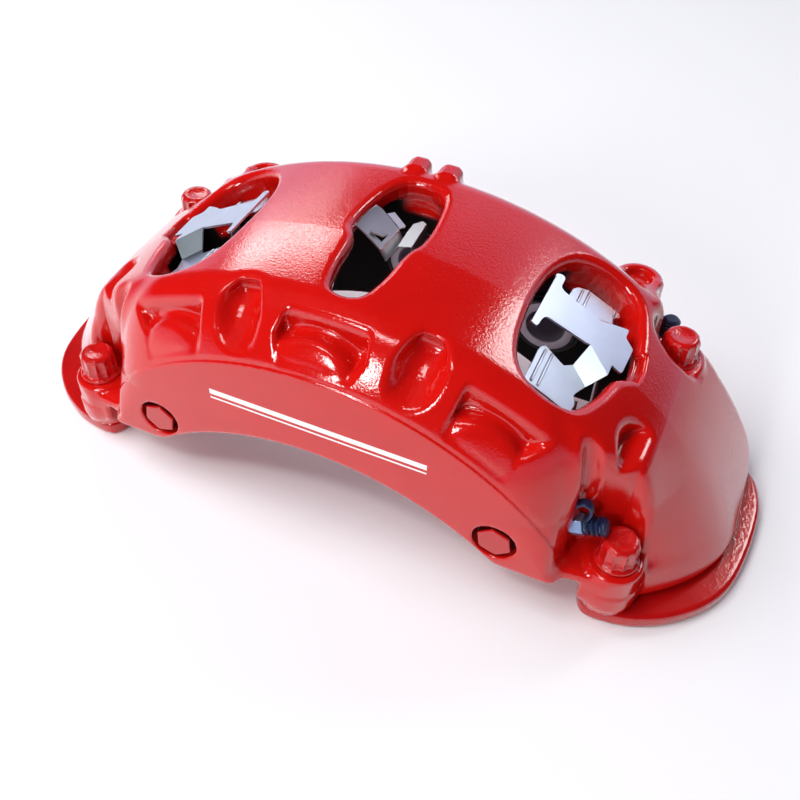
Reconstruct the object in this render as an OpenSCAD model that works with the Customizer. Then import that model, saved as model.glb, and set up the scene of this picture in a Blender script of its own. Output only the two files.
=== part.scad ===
// Fixed six-piston brake caliper, one-piece housing with bolted end brackets.
// X runs along the caliper, Y is the brake disc's axis with the marked outboard
// face at -Y, and Z is up. Y = 0 is the disc's middle plane and Z = 0 is the
// underside of the two end brackets. Sides are named as seen from outboard.

/* [Brake disc] */
// Diameter of the disc that the caliper fits
disc_d = 380; // [370:1:380]
// Thickness of the disc
disc_t = 38; // [34:1:38]
// Height of the brackets' underside above the disc axis
axis_drop = 76.4; // [76:0.1:77]

/* [Housing] */
// Outer radius of the bridge, from the disc axis
bridge_r = 205.8; // [205:0.1:207]
// Radial gap between the disc and the bridge
disc_gap_r = 4; // [3:0.5:5]
// Radius of the lower edge of both halves
lower_r = 132.4; // [131:0.1:134]
// Distance of the outboard face from the disc's middle plane
face_y = 73; // [72.5:0.1:74]
// Distance of the inboard face from the disc's middle plane
back_y = 68; // [67:0.5:69]
// Gap between each side of the disc and its slot
disc_gap_side = 3; // [2:0.5:4]
// Half width of the pad pocket, across both pads and the disc
pocket_half_w = 39; // [38.5:0.5:39.5]
// Half length of the pad pocket
pocket_half_l = 98; // [97:0.5:99]
// Height of the housing's lower edge above the resting plane at its ends
skirt_z = 12; // [11:0.5:13]

/* [Pistons] */
// Radius of the circle, about the disc axis, that the pistons lie on
pitch_r = 160; // [159:0.5:161]
// Distance of the side pistons from the middle piston, along X
piston_x = 67; // [66:0.5:67.5]
// Diameter of the left pistons
piston_d_left = 32; // [30:1:33]
// Diameter of the middle pistons
piston_d_middle = 30; // [28:1:32]
// Diameter of the right pistons
piston_d_right = 28; // [26:1:30]
// Length of a piston
piston_len = 23.5; // [23:0.1:24]
// Radial clearance of a piston in its bore
piston_gap = 0.05; // [0.02:0.01:0.08]
// Distance of the bore bottoms from the disc's middle plane
bore_end = 61; // [61:0.5:62]

/* [Fasteners and ports] */
// Thread diameter of the bracket bolts
bolt_d = 10; // [8:1:10]
// Spacing of the knuckle bolt holes
knuckle_spacing = 201.6; // [200:0.2:203]
// Drilled radius of a knuckle bolt hole, for an M14 thread
knuckle_hole_r = 6.25; // [6:0.05:6.5]
// Depth of a knuckle bolt hole
knuckle_depth = 28; // [24:1:30]
// Drilled radius of the fluid inlet, for an M10 x 1 thread
inlet_r = 4.5; // [4.4:0.05:4.6]
// Upward tilt of the outboard bleed screw
bleed_tilt = 20; // [18:1:22]

/* [End brackets] */
// Thickness of an end bracket
bracket_t = 8; // [7:0.5:9]

/* [Springs] */
// Thickness of the spring steel
sheet_t = 1; // [0.8:0.1:1.2]
// Slope of the end springs' top plates
spring_tilt = 28.3; // [27:0.1:30]

/* [Hidden] */
$fn = 64;
eps = 0.01;
SIDES = ["left", "middle", "right"];
HALVES = ["outer", "inner"];

wrap = 64;                      // half angle of the bridge about the disc axis
slot_r = disc_d / 2 + disc_gap_r;
slot_half = disc_t / 2 + disc_gap_side;
pocket_r = slot_r - 0.6;        // radius of the pad pocket's roof
face_half_l = 112;              // half length of the flat outboard face
face_floor_z = 26;              // lower edge of the halves beside the face
step_x = 118;                   // where that edge steps down to the skirt
bolt_front = [132, -53];        // X and Y of the right front bracket bolt
bolt_rear = [129, 41];          // X and Y of the right rear bracket bolt
seat_front_z = 34;              // flange seat of the front bolts
seat_rear_z = 70;               // flange seat of the rear bolts
column_r = 12.5;                // radius of the cast columns under the bolts
bolt_hole_r = bolt_d / 2 + 0.5;
flange_r = 9.8;
plug = [83, 41.5];              // X and Z of the right face plug
plug_r = 9.8;
seal_w = 4;                     // width of a piston seal
seal_h = 3;                     // radial depth of its groove
boot_w = 3.6;                   // width of the boot's bead in the bore mouth
boot_h = 3.2;                   // radial depth of the boot's groove
nose = 2.5;                     // how far a retracted piston stands out
bleed_seat = [108, -54, 47.2];  // mouth of the outboard bleed drilling
bleed_rear = [121.5, 60, 58];   // mouth of the inboard bleed drilling
bleed_face_r = 8;               // spot face round the outboard bleed screw
lug_y = 66;                     // middle of a knuckle lug
lug_face_y = 79;                // machined face of a knuckle lug
lug_top_z = 94;
lug_hole_z = 74;                // height of the knuckle bolt holes
feed_angle = 30.3;              // slope of the drilling from a face plug to its bore
inlet = [-40, 72];              // X and Z of the fluid inlet
steel = "#9a9da3";

function piston_d(side) =
    side == "left" ? piston_d_left : side == "middle" ? piston_d_middle : piston_d_right;
function side_x(side) = side == "left" ? -piston_x : side == "middle" ? 0 : piston_x;
function side_z(side) = sqrt(pow(pitch_r, 2) - pow(side_x(side), 2)) - axis_drop;

// Places children on a radius of the disc, with +Z outward and turned a degrees to +X
module on_radius(a) {
    translate([0, 0, -axis_drop]) rotate([0, a, 0]) children();
}

// Places children on a piston's axis, with +Z running out of the bore to the disc
module at_piston(half, side) {
    s = half == "outer" ? -1 : 1;
    translate([side_x(side), 0, side_z(side)])
        rotate([s * 90, 0, 0])
            translate([0, 0, -pocket_half_w]) children();
}

// Places children at both ends of the caliper, mirrored about X = 0
module both_ends() {
    children();
    mirror([1, 0, 0]) children();
}

// Rectangle with round corners, centred
module round_rect(w, h, r) {
    square([w - 2 * r, h], center = true);
    square([w, h - 2 * r], center = true);
    for (sx = [-1, 1], sy = [-1, 1])
        translate([sx * (w / 2 - r), sy * (h / 2 - r)]) circle(r);
}

// Section of the halves and bridge: radius against distance outboard
module section() {
    polygon([
        [lower_r, face_y], [177.6, face_y], [186, 69.5], [193.4, 63], [199.5, 55.5],
        [203.8, 48.5], [bridge_r, 41], [bridge_r, -43.5], [203.8, -50.5],
        [198.5, -57.5], [191, -63.5], [181, -67], [172, -back_y], [lower_r, -back_y]
    ]);
}

// Outline of the housing seen from above, with rounded nose ends
module nose_outline() {
    steps = 12;
    polygon(concat(
        [[-face_half_l, -face_y - 1], [face_half_l, -face_y - 1], [118, -66]],
        [for (i = [0:steps]) let (t = -68 + 88 * i / steps) [104 + 81 * cos(t), 25 + 89 * sin(t)]],
        [[170, 60], [150, back_y], [-150, back_y], [-170, 60]],
        [for (i = [0:steps]) let (t = 20 - 88 * i / steps) [-104 - 81 * cos(t), 25 + 89 * sin(t)]],
        [[-118, -66]]
    ));
}

// Solid of the housing before anything is cut from it
module housing_blank() {
    difference() {
        intersection() {
            translate([0, 0, -axis_drop]) rotate([90, 0, 0]) rotate([0, 0, 90 - wrap])
                rotate_extrude(angle = 2 * wrap, $fn = 180) section();
            translate([0, 0, skirt_z]) linear_extrude(140) nose_outline();
        }
        translate([-step_x, -100, 0]) cube([2 * step_x, 200, face_floor_z]);
    }
}

// Cast column under a bracket bolt
module column(at, top) {
    translate([at[0], at[1], bracket_t]) cylinder(h = top - bracket_t, r = column_r);
}

// Lug on the inboard side that takes a knuckle bolt
module knuckle_lug() {
    x = knuckle_spacing / 2;
    translate([x, lug_y, 54]) cylinder(h = lug_top_z - 54, r = 13);
    translate([x - 12, lug_y - 16, 54]) cube([24, 16, lug_top_z - 54 - 4]);
    translate([x, lug_y - 6, lug_hole_z]) rotate([-90, 0, 0])
        cylinder(h = lug_face_y - lug_y + 6, r = 11.5);
}

// Two cast stubs behind the middle window
module rear_stubs() {
    for (x = [-9, 7])
        translate([x, 53, 112]) intersection() {
            cylinder(h = 19, r = 7);
            translate([-6, -8, 0]) cube([12, 16, 19]);
        }
}

// Bore, seal groove, boot groove and chamfer for one piston
module piston_bore(half, side) {
    r = piston_d(side) / 2 + piston_gap;
    depth = bore_end - pocket_half_w;
    at_piston(half, side) {
        translate([0, 0, -depth]) cylinder(h = depth + 1, r = r);
        translate([0, 0, -10]) cylinder(h = seal_w, r = r + seal_h);
        translate([0, 0, -boot_w]) cylinder(h = boot_w + 1, r = r + boot_h);
    }
}

// Windows cut through the bridge
module windows() {
    for (a = [-26.9, 26.9])
        on_radius(a) translate([0, 0, 184]) linear_extrude(40) round_rect(56, 86, 14);
    translate([0, 0, 108]) linear_extrude(40) {
        translate([0, 9]) round_rect(30, 60, 8);
        translate([0, -20]) round_rect(20, 47, 9);
    }
}

// Weight-saving pockets in the outboard shoulder
module shoulder_pocket(a, w, h, r, depth) {
    on_radius(a) translate([0, -62, 193]) rotate([52, 0, 0])
        translate([0, 0, -depth]) linear_extrude(depth + 20) round_rect(w, h, r);
}

// Recess for the bleed screw and the front bolt, outboard
module front_recess() {
    translate([131, -58, seat_front_z]) cylinder(h = 80, r = 18);
    translate([114, -80, seat_front_z]) cube([34, 22, 80]);
}

// Everything drilled for brake fluid
module galleries() {
    for (s = [-1, 1])
        translate([-piston_x, s * (bore_end - 1.2), 74]) rotate([0, 90, 0])
            cylinder(h = 2 * piston_x, r = 1.8);
    translate(bleed_seat) rotate([0, 90 - bleed_tilt, 0])
        translate([0, 0, -14]) cylinder(h = 16, r = 4 + 0.05);
    translate(bleed_seat) rotate([0, 90 - bleed_tilt, 0])
        translate([0, 0, -32]) cylinder(h = 20, r = 1.5);
    translate([plug[0], -face_y + 12 - eps, plug[1]]) rotate([-90, 0, 0])
        cylinder(h = 10, r = 3);
    translate([plug[0], -face_y + 16, plug[1]]) rotate([0, -feed_angle, 0])
        cylinder(h = 24, r = 1.5);
    translate([bleed_rear[0], bleed_rear[1], bleed_rear[2] - 14])
        cylinder(h = 30, r = 4 + 0.05);
    translate([bleed_rear[0], bore_end - 3.4, bleed_rear[2] - 13]) rotate([0, -70, 0])
        cylinder(h = 50, r = 1.5);
    translate([inlet[0], back_y + 1, inlet[1]]) rotate([90, 0, 0])
        cylinder(h = 13, r = inlet_r);
}

module caliper_housing() {
    color("#c41a1c") difference() {
        union() {
            housing_blank();
            both_ends() {
                column(bolt_front, seat_front_z);
                column(bolt_rear, seat_rear_z);
                knuckle_lug();
                translate([bleed_rear[0], bleed_rear[1], 40])
                    cylinder(h = bleed_rear[2] - 40, r = 8);
            }
            rear_stubs();
        }
        // Slot for the disc and pocket for the pads
        translate([0, slot_half, -axis_drop]) rotate([90, 0, 0])
            cylinder(h = 2 * slot_half, r = slot_r, $fn = 180);
        intersection() {
            translate([0, pocket_half_w, -axis_drop]) rotate([90, 0, 0])
                cylinder(h = 2 * pocket_half_w, r = pocket_r, $fn = 180);
            translate([-pocket_half_l, -60, -10]) cube([2 * pocket_half_l, 120, 200]);
        }
        windows();
        for (half = HALVES, side = SIDES) piston_bore(half, side);
        shoulder_pocket(0, 40, 26, 5, 7);
        for (a = [-11.6, 11.6]) shoulder_pocket(a, 13, 26, 6, 7);
        for (a = [-23.5, 23.5]) shoulder_pocket(a, 40, 24, 5, 7);
        both_ends() {
            front_recess();
            translate([bolt_rear[0], bolt_rear[1], seat_rear_z]) cylinder(h = 60, r = 13.5);
            for (at = [bolt_front, bolt_rear])
                translate([at[0], at[1], -1]) cylinder(h = 120, r = bolt_hole_r);
            translate([plug[0], -face_y - 1, plug[1]]) rotate([-90, 0, 0])
                cylinder(h = 13, r = plug_r);
            translate([knuckle_spacing / 2, lug_face_y + 1, lug_hole_z]) rotate([90, 0, 0])
                cylinder(h = knuckle_depth + 1, r = knuckle_hole_r);
            translate([knuckle_spacing / 2, lug_y, lug_top_z + 7]) sphere(r = 10);
            translate(bleed_rear) cylinder(h = 60, r = 9.6);
            translate([127, -31, 88]) sphere(r = 11);
        }
        at_outer_bleed() cylinder(h = 22, r = bleed_face_r);
        galleries();
    }
}

// C-shaped plate under one end, cut out for the disc
module end_bracket() {
    difference() {
        linear_extrude(bracket_t) difference() {
            union() {
                polygon([
                    [121, -52], [123, -58], [127, -62], [134, -63], [146, -60], [156, -55],
                    [168, -46], [178, -33], [185, -14], [189, 8], [190.5, 28], [188, 44],
                    [182, 51], [170, 54], [119, 54], [117, 50], [117, 28], [121, -20]
                ]);
                translate(bolt_rear) circle(r = 13);
            }
            translate([100, -slot_half - 1]) square([77.5, 2 * slot_half + 2]);
        }
        for (at = [bolt_front, bolt_rear])
            translate([at[0], at[1], -1]) cylinder(h = bracket_t + 2, r = bolt_d / 2);
    }
}

module end_bracket_right() {
    color("#b01518") end_bracket();
}

module end_bracket_left() {
    color("#b01518") mirror([1, 0, 0]) end_bracket();
}

// Twelve-point flange bolt whose seat is at Z = seat and whose tip is in the bracket
module bracket_bolt(at, seat) {
    translate([at[0], at[1], 1]) cylinder(h = seat - 1 + eps, r = bolt_d / 2);
    translate([at[0], at[1], seat]) {
        cylinder(h = 2.5, r = flange_r);
        for (a = [0, 30]) rotate([0, 0, a]) cylinder(h = 14, r = 8.4, $fn = 6);
    }
}

module front_bracket_bolts() {
    color("#c41a1c") both_ends() bracket_bolt(bolt_front, seat_front_z);
}

module rear_bracket_bolts() {
    color("#c41a1c") both_ends() bracket_bolt(bolt_rear, seat_rear_z);
}

// Screwed plugs that close the drillings in the outboard face
module face_plugs() {
    color("#b01518") both_ends()
        translate([plug[0], -face_y + 2.5, plug[1]]) rotate([-90, 0, 0]) {
            cylinder(h = 9.5, r = plug_r);
            translate([0, 0, -2.3]) cylinder(h = 3, r = 7.6, $fn = 6);
        }
}

// Hollow piston, open towards the pad, with a groove for the boot
module piston(half, side) {
    r = piston_d(side) / 2;
    color(steel) at_piston(half, side) translate([0, 0, nose - piston_len])
        rotate_extrude() polygon([
            [0, 0], [r - 1, 0], [r, 1], [r, piston_len - 3.5], [r - 1.2, piston_len - 3.5],
            [r - 1.2, piston_len - 1.5], [r, piston_len - 1.5], [r, piston_len - 0.5],
            [r - 0.5, piston_len], [r - 4.5, piston_len], [r - 4.5, 6], [r - 6.5, 4], [0, 4]
        ]);
}

// Square-section piston seal
module seal(half, side) {
    r = piston_d(side) / 2;
    color("#1d1d20") at_piston(half, side) translate([0, 0, -10 + 0.1])
        difference() {
            cylinder(h = seal_w - 0.2, r = r + piston_gap + seal_h - 0.02);
            translate([0, 0, -1]) cylinder(h = seal_w + 2, r = r + 0.03);
        }
}

// Dust boot: a bead in the bore mouth and folds up to the piston's nose
module boot(half, side) {
    r = piston_d(side) / 2;
    color("#16161a") at_piston(half, side)
        rotate_extrude() polygon([
            [r + 1.9, -boot_w + 0.1], [r + boot_h, -boot_w + 0.1], [r + boot_h, 0], [r + 2.9, 0.6],
            [r + 2.3, 1.4], [r + 1.6, 0.7], [r + 1.2, nose - 1.6], [r + 0.2, nose - 1.5],
            [r + 0.2, nose - 2.4], [r + 0.6, nose - 2.4], [r + 1, -1.5], [r + 1.6, -0.6], [r + 1.9, -0.9]
        ]);
}

// Bleed screw along +Z from its drilling's mouth
module bleed_screw() {
    translate([0, 0, -12]) cylinder(h = 12 + eps, r = 4);
    translate([0, 0, -13.9]) cylinder(h = 2, r1 = 1.8, r2 = 3.2, $fn = 48);
    cylinder(h = 2.6, r = 3);
    translate([0, 0, 2.5]) cylinder(h = 6, r = 9 / sqrt(3), $fn = 6);
    translate([0, 0, 8.5 - eps]) cylinder(h = 8, r = 2.6);
    translate([0, 0, 14]) cylinder(h = 2.4, r = 3.2);
}

// Ribbed rubber cap over the bleed nipple, along +Z
module bleed_cap() {
    difference() {
        union() {
            translate([0, 0, 8.8]) cylinder(h = 9.6, r = 3.9);
            for (z = [9.4, 11.6, 13.8, 16]) translate([0, 0, z]) cylinder(h = 1.2, r = 4.5);
        }
        translate([0, 0, 8]) cylinder(h = 9, r = 3.3);
    }
}

// Loop round the screw's neck with the strap to the cap
module cap_strap() {
    difference() {
        cylinder(h = 2, r = 6);
        translate([0, 0, -1]) cylinder(h = 4, r = 3.1);
    }
    translate([5.4, -1.6, 0]) cube([1.6, 3.2, 12]);
}

module at_outer_bleed() {
    translate(bleed_seat) rotate([0, 90 - bleed_tilt, 0]) rotate([0, 0, 90]) children();
}

module at_inner_bleed() {
    translate(bleed_rear) children();
}

// Stamped guide spring at the right end of the pad pocket
module end_spring() {
    // Top plate: head, stem and notched foot, in the plane that follows the bridge
    translate([71, 0, 114]) rotate([0, spring_tilt, 0]) linear_extrude(sheet_t) {
        translate([0, -14]) square([4, 35]);
        translate([0, -4.5]) square([40, 18]);
        translate([27, -5]) square([14, 25]);
        translate([27, -5]) square([17.5, 17]);
    }
    // Guide legs on the two abutments
    for (s = [-1, 1]) {
        translate([pocket_half_l - 1.1, s * 30.5 - 8, 34]) cube([sheet_t, 16, 62]);
        translate([71, 0, 114]) rotate([0, spring_tilt, 0])
            translate([28, s > 0 ? 13 : -38.5, 0]) cube([2.4, 25.5, sheet_t]);
    }
}

module end_spring_right() {
    color("#c9d3dc") end_spring();
}

module end_spring_left() {
    color("#c9d3dc") mirror([1, 0, 0]) end_spring();
}

// Stamped clip that bridges the middle window
module centre_spring() {
    color("#b9bcbd") {
        translate([-14.8, -3, 117]) rotate([0, 12, 0]) cube([18, 21, sheet_t]);
        translate([2.5, 4, 112.4]) cube([12.3, 14, sheet_t]);
        translate([2.5, 4, 112.4]) cube([sheet_t, 14, 2.5]);
        translate([13.6, -2, 112.4]) cube([sheet_t, 20, 6]);
    }
}

caliper_housing();
end_bracket_left();
end_bracket_right();
front_bracket_bolts();
rear_bracket_bolts();
face_plugs();
for (half = HALVES, side = SIDES) {
    piston(half, side);
    seal(half, side);
    boot(half, side);
}
color(steel) at_outer_bleed() bleed_screw();  // bleed_screw_outer
color(steel) at_inner_bleed() bleed_screw();  // bleed_screw_inner
color("#1b2450") at_outer_bleed() bleed_cap();  // bleed_cap_outer
color("#1b2450") at_inner_bleed() bleed_cap();  // bleed_cap_inner
color("#1b2450") at_outer_bleed() cap_strap();  // cap_strap_outer
color("#1b2450") at_inner_bleed() cap_strap();  // cap_strap_inner
end_spring_left();
end_spring_right();
centre_spring();
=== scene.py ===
import math

import bpy
import bmesh
import numpy as np
import openvdb
from mathutils import Matrix, Vector


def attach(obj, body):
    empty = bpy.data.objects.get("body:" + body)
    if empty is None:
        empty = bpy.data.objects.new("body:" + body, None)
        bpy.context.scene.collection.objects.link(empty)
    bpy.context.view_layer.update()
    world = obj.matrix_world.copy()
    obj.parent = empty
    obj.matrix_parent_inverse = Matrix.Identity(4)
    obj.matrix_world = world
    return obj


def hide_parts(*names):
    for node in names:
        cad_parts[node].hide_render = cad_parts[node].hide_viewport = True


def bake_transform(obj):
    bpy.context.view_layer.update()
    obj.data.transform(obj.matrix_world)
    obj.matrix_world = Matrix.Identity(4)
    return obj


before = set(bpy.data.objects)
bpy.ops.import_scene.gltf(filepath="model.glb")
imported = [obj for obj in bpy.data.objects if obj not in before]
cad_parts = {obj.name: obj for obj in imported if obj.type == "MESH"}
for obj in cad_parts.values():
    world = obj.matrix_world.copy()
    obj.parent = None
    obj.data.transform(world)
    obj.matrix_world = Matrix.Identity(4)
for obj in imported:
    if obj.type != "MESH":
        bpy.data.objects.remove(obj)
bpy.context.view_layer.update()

# Sizes in millimetres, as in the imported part; pieces are built in mm and scaled to metres.
MM = 0.001
AXIS_DROP = 76.4                    # height of the resting plane above the disc axis
BRIDGE_R = 205.8                    # outer radius of the bridge, about the disc axis
SLOT_R, SLOT_HALF = 194.0, 22.0     # radius and half width of the disc's slot
POCKET_HALF_W, POCKET_HALF_L = 39.0, 98.0
FACE_Y = 73.0                       # outboard face, from the disc's middle plane
FACE_ARC_Z, FACE_ARC_R = -40.6, 141.8
LOWER_R = 132.4                     # lower edge of both halves
SHELF_Z = 31.0                      # floor of the front recess
LEDGE_STEP = 0.9                    # how far the flat face stands out of the shoulder
FLAT_FACE_HALF_L = 112.5
# X, Z and radius of the pistons of one half
PISTONS = {"left": (-67.0, 68.9, 16.0), "middle": (0.0, 83.6, 15.0), "right": (67.0, 68.9, 14.0)}
BORE_END = 61.0
# X and Y of the right bracket bolts, and the height of their seats
BOLT_FRONT, SEAT_FRONT_Z = (132.0, -53.0), 34.0
BOLT_REAR, SEAT_REAR_Z = (129.0, 41.0), 70.0
COLUMN_R = 12.5
PLUG, PLUG_R = (83.0, 41.5), 9.8    # X and Z of the right face plug, and its radius
BLEED_FRONT = (108.0, -54.0, 47.2)
BLEED_REAR = (121.5, 60.0, 58.0)
LUG_X, LUG_Y, LUG_HOLE_Z, LUG_FACE_Y = 100.8, 65.5, 74.0, 79.0
INLET = (-40.0, 72.0, 4.6)          # X, Z and radius
BRACKET_T = 8.0
# Outer skin: rounded outboard shoulder, crown of the bridge, nose past the windows, back shoulder
SHOULDER_W = 29.0
CROWN_Y, CROWN_SLOPE = -8.0, 0.07
NOSE_START_DEG, NOSE_SPAN_DEG = 41.0, 23.0
NOSE_X, NOSE_Y, NOSE_LENGTH = 104.0, 25.0, 83.5
NOSE_FRONT_W, NOSE_BACK_W = 90.0, 60.0
BACK_ROUND_Y, BACK_ROUND_W = 36.0, 32.0
BACK_ROUND_R, BACK_ROUND_H = 172.0, 33.8


# ---------------------------------------------------------------- distance fields
def smax(a, b, k):
    """Larger of two distances, with the crease between them rounded over a width k."""
    h = np.maximum(k - np.abs(a - b), 0) / k
    return np.maximum(a, b) + h * h * k * 0.25


def smin(a, b, k):
    """Smaller of two distances, rounded in the same way."""
    return -smax(-a, -b, k)


def polygon(px, py, points):
    """Signed distance to a closed outline, negative inside."""
    n = len(points)
    best = np.full(np.broadcast(px, py).shape, 1e9)
    inside = np.zeros(best.shape, bool)
    for i in range(n):
        ax, ay = points[i]
        bx, by = points[(i + 1) % n]
        ex, ey = bx - ax, by - ay
        wx, wy = px - ax, py - ay
        t = np.clip((wx * ex + wy * ey) / (ex * ex + ey * ey), 0, 1)
        best = np.minimum(best, (wx - ex * t) ** 2 + (wy - ey * t) ** 2)
        if ay != by:
            crosses = ((ay > py) != (by > py)) & (px < ex * (py - ay) / ey + ax)
            inside ^= crosses
    return np.sqrt(best) * np.where(inside, -1.0, 1.0)


def smooth_outline(points, steps=5):
    """Closed Catmull-Rom curve through given points."""
    p = np.array(points, float)
    t = np.arange(steps)[:, None] / steps
    out = []
    for i in range(len(p)):
        a, b, c, d = p[i - 1], p[i], p[(i + 1) % len(p)], p[(i + 2) % len(p)]
        out.append(0.5 * (2 * b + (c - a) * t + (2 * a - 5 * b + 4 * c - d) * t ** 2
                          + (3 * b - a - 3 * c + d) * t ** 3))
    return [tuple(q) for q in np.vstack(out)]


def cyl_z(x, y, z, cx, cy, radius, z0, z1, k=1.0):
    """Upright cylinder from z0 to z1 with its edges rounded by k."""
    return smax(np.hypot(x - cx, y - cy) - radius, np.abs(z - (z0 + z1) / 2) - (z1 - z0) / 2, k)


def cyl_y(x, y, z, cx, cz, radius, y0, y1, k=1.0):
    """Cylinder along Y from y0 to y1 with its edges rounded by k."""
    return smax(np.hypot(x - cx, z - cz) - radius, np.abs(y - (y0 + y1) / 2) - (y1 - y0) / 2, k)


def ellipse_like(u, v, a, b):
    """Near-distance to a quarter ellipse in the positive quadrant, flat-sided outside it."""
    k0 = np.hypot(u / a, v / b)
    k1 = np.hypot(u / (a * a), v / (b * b))
    return np.where(k1 > 1e-9, k0 * (k0 - 1) / np.maximum(k1, 1e-9), -min(a, b))


def skin_radius(y, th):
    """Radius of the outer skin about the disc axis, from the outboard face to the back shoulder."""
    c, s = np.cos(th), np.sin(th)
    z0 = AXIS_DROP + FACE_ARC_Z
    face = z0 * c + np.sqrt(FACE_ARC_R ** 2 - (z0 * s) ** 2)
    t = np.clip((y + FACE_Y) / SHOULDER_W, 0, 1)
    crown = BRIDGE_R - CROWN_SLOPE * np.maximum(CROWN_Y - y, 0)
    front = face + (crown - face) * (1 - (1 - t) ** 2)
    u = np.clip((np.degrees(th) - NOSE_START_DEG) / NOSE_SPAN_DEG, 0, 1)
    drop = 1 - (1 - u) ** 2.3
    v = np.clip((8 - y) / 62.0, 0, None)
    nose = BRIDGE_R - 5.2 * drop - 30 * drop * v ** 2.6
    return smin(front, nose, 8.0)


# Side windows by distance along the bridge and Y, and the middle one by X and Y
SIDE_WINDOW = smooth_outline([
    (68.4, 3), (69.4, -16), (72.6, -31), (79, -40.5), (89, -44.6), (99, -43.8), (107.4, -39.5),
    (114.6, -25), (118.4, -12), (123.6, -6), (126, 2), (124.4, 14), (121, 27), (115.6, 38),
    (105, 44), (91, 44), (78.6, 37.5), (71, 23)], 3)
MIDDLE_WINDOW = smooth_outline([
    (0, -44.2), (5.6, -42.4), (8.4, -37), (10.6, -26), (11.6, -14), (13, -7), (15.2, -1), (15.8, 9),
    (14.6, 21), (12.4, 32), (8, 38.4), (0, 40), (-8, 38.4), (-12.4, 32), (-15.6, 21), (-17.0, 9),
    (-16.4, -1), (-13, -7), (-11.6, -14), (-10.6, -26), (-8.4, -37), (-5.6, -42.4)], 2)
# X and Z of the shoulder pockets, seen square to the face; the open lower ends stop at the face's ledge
CENTRE_POCKET = [
    (-15.5, 92), (-16.5, 103), (-20.5, 112), (-18.5, 121), (-13, 127.5), (13, 127.5), (17.5, 122),
    (18.5, 112), (13.5, 103), (12.5, 92)]
OVAL_POCKET = smooth_outline([
    (34, 121), (42, 120.8), (48, 118), (50.4, 113.5), (49, 107), (45, 102), (38, 100.3),
    (31.5, 103), (29.5, 109), (29.8, 115.5)], 3)
OUTER_POCKET = [
    (55.5, 80), (56.6, 97), (59.5, 110), (62.5, 116), (77, 112), (93.6, 99.6), (97, 96.4),
    (94.4, 93.6), (84.6, 88.4), (81.6, 80), (79, 70)]
# X and Y of the recess round the front bolt
RECESS = [
    (111.4, -90), (111.4, -56), (113.4, -50.8), (119.5, -47.2), (130, -42.6), (136.8, -44.4),
    (141, -47.5), (150, -45.5), (158, -40.5), (165, -33), (174, -27), (200, -60), (170, -90)]
# Step in the side window's rim, measured like the window
WINDOW_NOTCH = [(118, -7), (127.4, -5), (128.4, 4), (127, 13), (118, 14)]

# Shoulder pockets: side, outline, domed bore housing in it (X, Z, radius, end Y, edge round),
# Y of the back wall, depth and slant of the walls
CENTRE_DOME = (-3.0, 90.0, 24.0, -70.6, 7.0)
OUTER_DOME = (65.0, 75.0, 24.6, -71.0, 9.0)
POCKETS = [
    (1, CENTRE_POCKET, CENTRE_DOME, -56.5, 10.0, 0.0),
    (1, OUTER_POCKET, OUTER_DOME, -57.0, 9.0, 0.0),
    (-1, OUTER_POCKET, OUTER_DOME, -57.0, 9.0, 0.0),
    (1, OVAL_POCKET, None, -45.0, 9.0, 0.6),
    (-1, OVAL_POCKET, None, -45.0, 9.0, 0.6)]
POCKET_TO_LEDGE = 3.6


def pocket_cut(x, y, z, top, ledge, outline, dome, wall_y, depth, slant):
    """Space pressed into the shoulder, round the domed end of a bore housing if there is one."""
    cut = smax(polygon(x, z, outline) + slant * np.maximum(-top, 0), y - wall_y, 3.0)
    cut = smax(cut, -(top + depth), 5.0)
    if dome is not None:
        cx, cz, radius, end, edge = dome
        rho = np.hypot(x - cx, z - cz)
        boss = np.hypot(np.maximum(rho - radius + edge, 0), np.maximum(end + edge - y, 0)) - edge
        cut = smax(cut, -boss, 2.6)
    return smax(cut, POCKET_TO_LEDGE - ledge, 3.0)


def outer_body(ax, y, z, r, top, ledge):
    """The casting's outside, before anything is cut in it or stands out of it."""
    past_y, past_r = np.maximum(y - BACK_ROUND_Y, 0), np.maximum(r - BACK_ROUND_R, 0)
    d = smax(top, ellipse_like(past_y, past_r, BACK_ROUND_W, BACK_ROUND_H), 1.0)
    d = smax(d, -FACE_Y - y, 0.7)
    d = smax(d, smin(ledge, LEDGE_STEP - FACE_Y - y, 0.9), 0.9)
    along = np.maximum(ax - NOSE_X, 0)
    nose = np.where(y < NOSE_Y, ellipse_like(along, NOSE_Y - y, NOSE_LENGTH, NOSE_FRONT_W),
                    ellipse_like(along, y - NOSE_Y, NOSE_LENGTH, NOSE_BACK_W))
    rounding = 5.0 + 21.0 * np.clip((z - 28) / 30.0, 0, 1)
    return smax(d, smin(nose, ax - FLAT_FACE_HALF_L, 5.0), rounding)


def front_recess(d, ax, y, z):
    """Recess at the end of the face, with its groove, sill and bolt column."""
    recess = smax(polygon(ax, y, RECESS) - 0.5, SHELF_Z - z, 6.0)
    d = smax(d, -recess, 6.0)
    t = np.clip((90 - z) / 25.0, -0.3, 1)
    groove = np.sqrt((ax - 111 - 3.5 * t) ** 2 + (y + 50 + 2 * t) ** 2 + (z - 90 + 25 * t) ** 2) - 3.6
    d = smax(d, -groove, 3.0)
    sill = smax(np.abs(ax - 121) - 12, smax(-65.8 - y, y + 40, 1.0), 4.0)
    d = smin(d, smax(sill, np.abs(z - 22.5) - 8.5, 4.0), 6.0)
    return smin(d, cyl_z(ax, y, z, *BOLT_FRONT, COLUMN_R, BRACKET_T, SEAT_FRONT_Z, 2.0), 3.0)


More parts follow.
